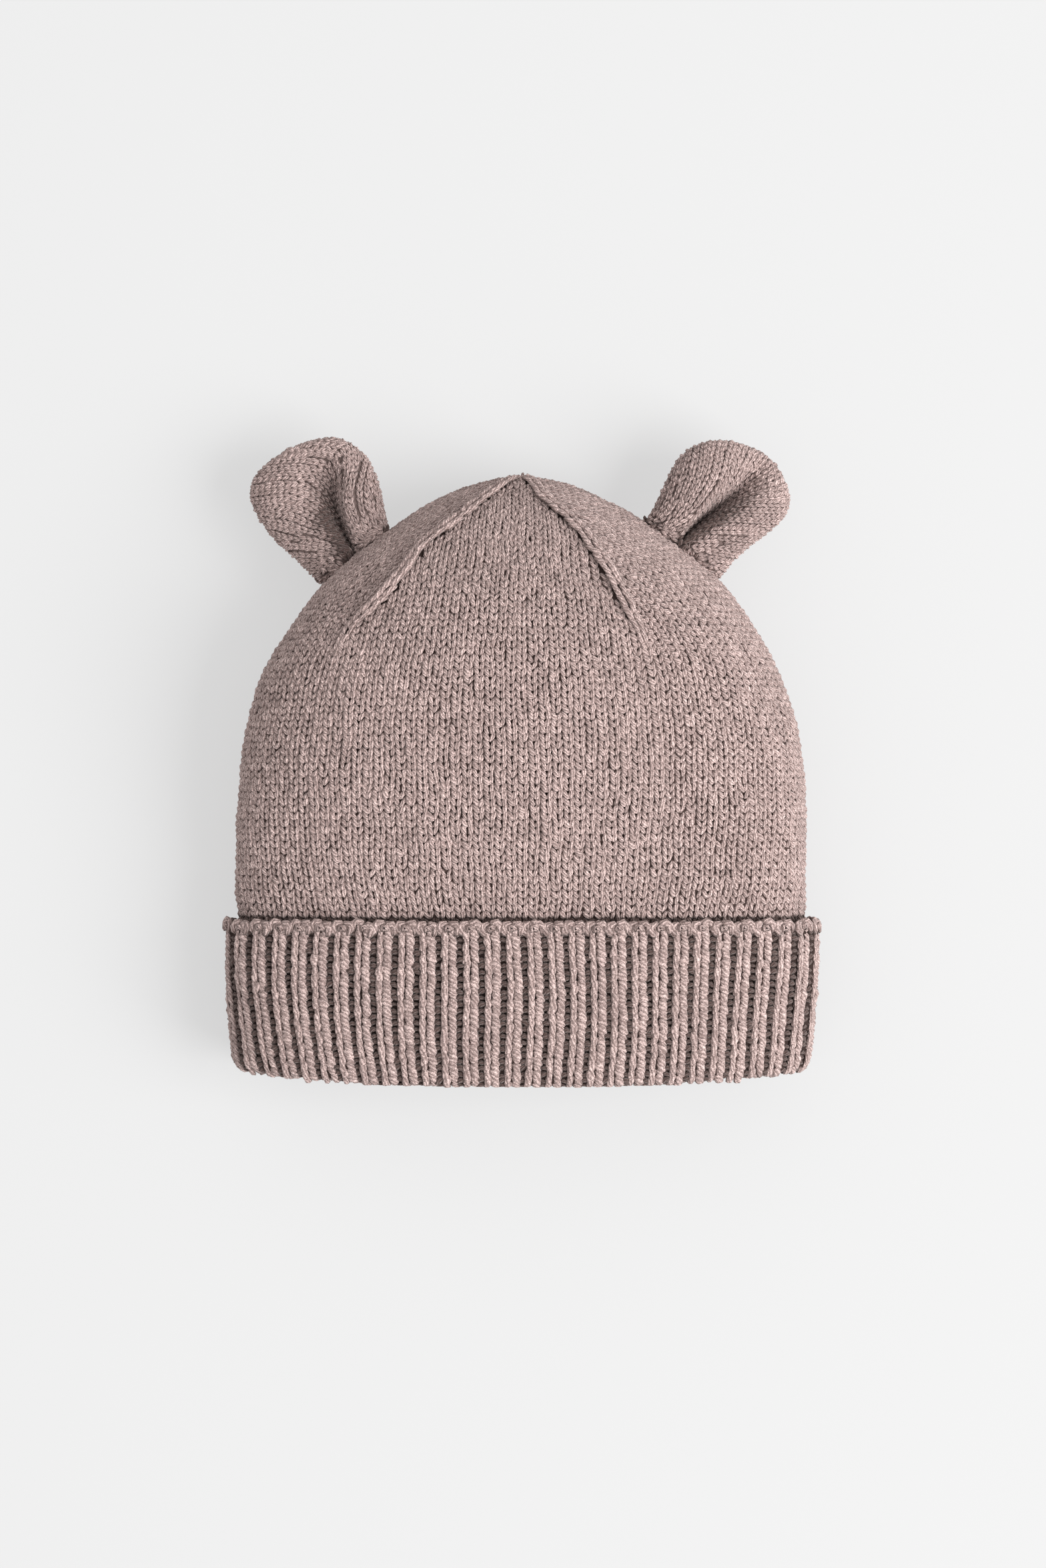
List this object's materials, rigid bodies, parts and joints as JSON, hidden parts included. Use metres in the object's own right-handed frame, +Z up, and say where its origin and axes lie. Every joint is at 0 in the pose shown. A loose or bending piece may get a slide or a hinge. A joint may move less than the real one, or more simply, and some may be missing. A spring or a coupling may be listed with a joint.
{
  "type": "baby hat with ears",
  "caption": "Knitted baby hat with a domed crown, a turned-up ribbed cuff that opens for the head, and small folded ears sewn to the sides of the crown.",
  "frame": {"origin": "on the surface that the hat lies on, under the middle of its bounding box", "axes": "+X across the hat towards the ear on the viewer's right, +Y from the mouth to the tip of the crown, +Z up from the surface; the hat lies on its back"},
  "size_m": [0.1908, 0.2054, 0.0657],
  "materials": {
    "plain_knit": "matte taupe wool in plain knitting, slightly heathered, with a soft halo of fibres",
    "rib_knit": "matte taupe wool in one-by-one ribbing, with dark recesses between the ribs",
    "ear_knit": "matte taupe wool in plain knitting, doubled and folded"
  },
  "bodies": {
    "root": {"crown": "plain_knit", "cuff": "rib_knit", "ear_left": "ear_knit", "ear_right": "ear_knit"}
  },
  "joints": []
}
